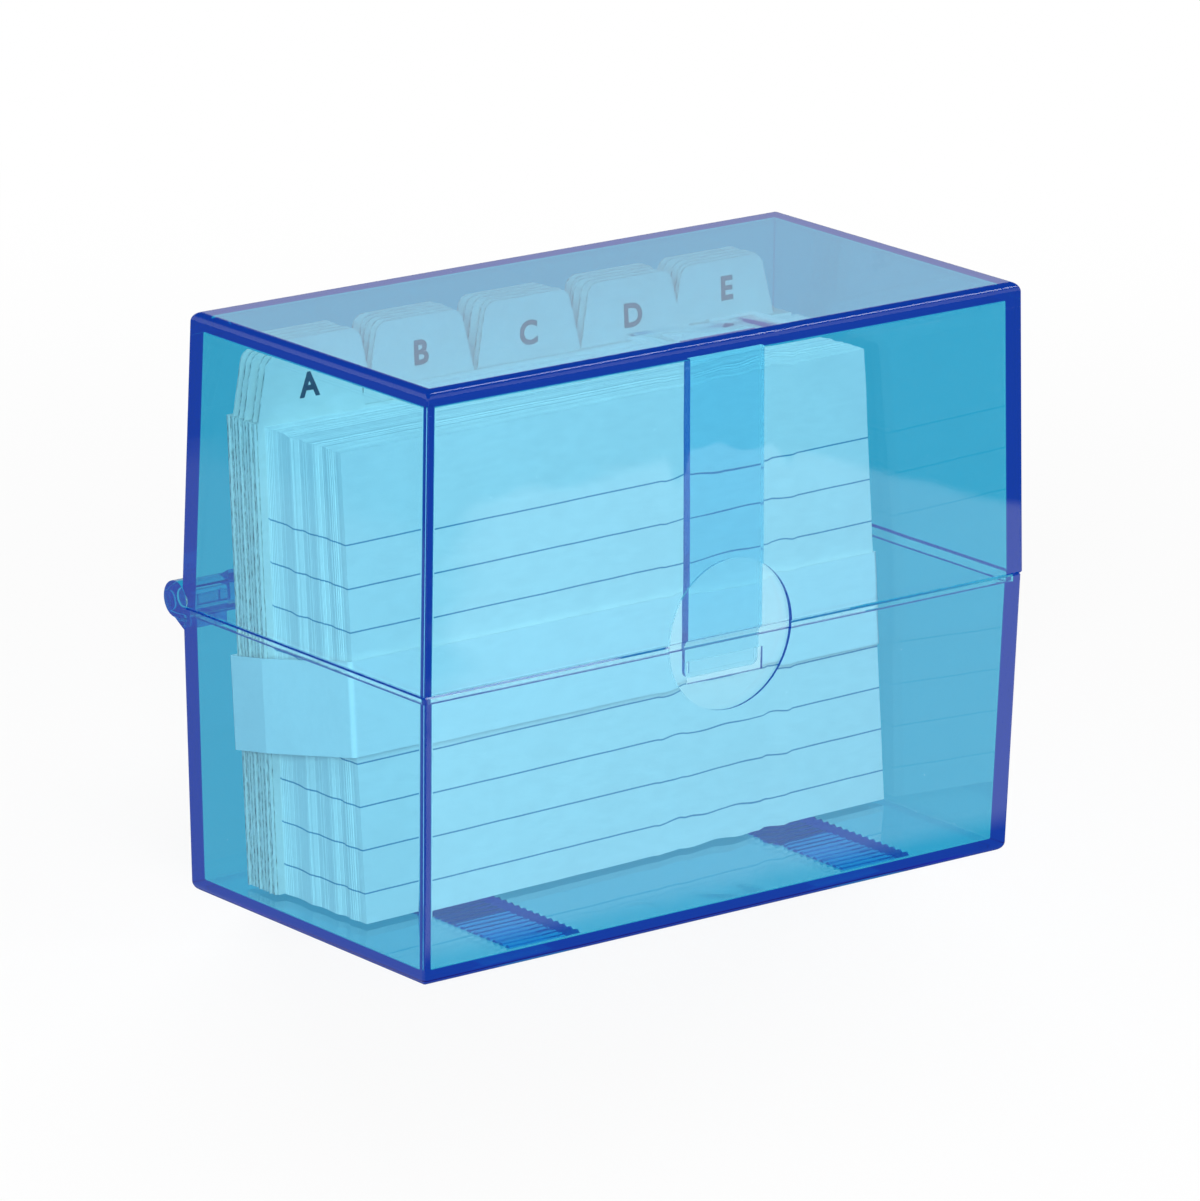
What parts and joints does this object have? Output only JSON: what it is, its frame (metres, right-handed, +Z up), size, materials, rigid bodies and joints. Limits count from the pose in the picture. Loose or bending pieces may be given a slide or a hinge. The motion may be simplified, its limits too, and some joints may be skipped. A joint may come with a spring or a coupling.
{
  "type": "index card box",
  "caption": "Translucent blue plastic box with a hinged lid and a snap front, holding a banded stack of ruled index cards and lettered tab guides.",
  "frame": {"origin": "centre of the tray's flat underside, on the surface that the box stands on", "axes": "+X across the box from left to right as seen from the front, +Y from the front to the hinge, +Z up"},
  "size_m": [0.1188, 0.0671, 0.0933],
  "materials": {
    "blue_plastic": "glossy translucent moulding",
    "card_stock": "matte ruled card",
    "guide_board": "matte grey board",
    "band_paper": "matte white paper"
  },
  "bodies": {
    "tray": {"base_tray": "blue_plastic", "paper_band": "band_paper", "cards_01": "card_stock", "cards_02": "card_stock", "cards_03": "card_stock", "cards_04": "card_stock", "cards_05": "card_stock", "cards_06": "card_stock", "cards_07": "card_stock", "cards_08": "card_stock", "cards_09": "card_stock", "cards_10": "card_stock", "divider_a": "guide_board", "divider_b": "guide_board", "divider_c": "guide_board", "divider_d": "guide_board", "divider_e": "guide_board", "divider_f": "guide_board", "divider_g": "guide_board", "divider_h": "guide_board", "divider_i": "guide_board", "divider_j": "guide_board", "divider_k": "guide_board", "divider_l": "guide_board", "divider_m": "guide_board", "divider_n": "guide_board", "divider_o": "guide_board", "divider_p": "guide_board", "divider_q": "guide_board", "divider_r": "guide_board", "divider_s": "guide_board", "divider_t": "guide_board", "divider_u": "guide_board", "divider_v": "guide_board", "divider_w": "guide_board", "divider_xy": "guide_board", "divider_z": "guide_board"},
    "lid": {"lid": "blue_plastic"}
  },
  "joints": [
    {"name": "lid_hinge", "type": "hinge", "parent": "tray", "child": "lid", "pos_m": [0, 0.03305, 0.0468], "axis": [-1, 0, 0], "range_deg": [0, 180]}
  ]
}
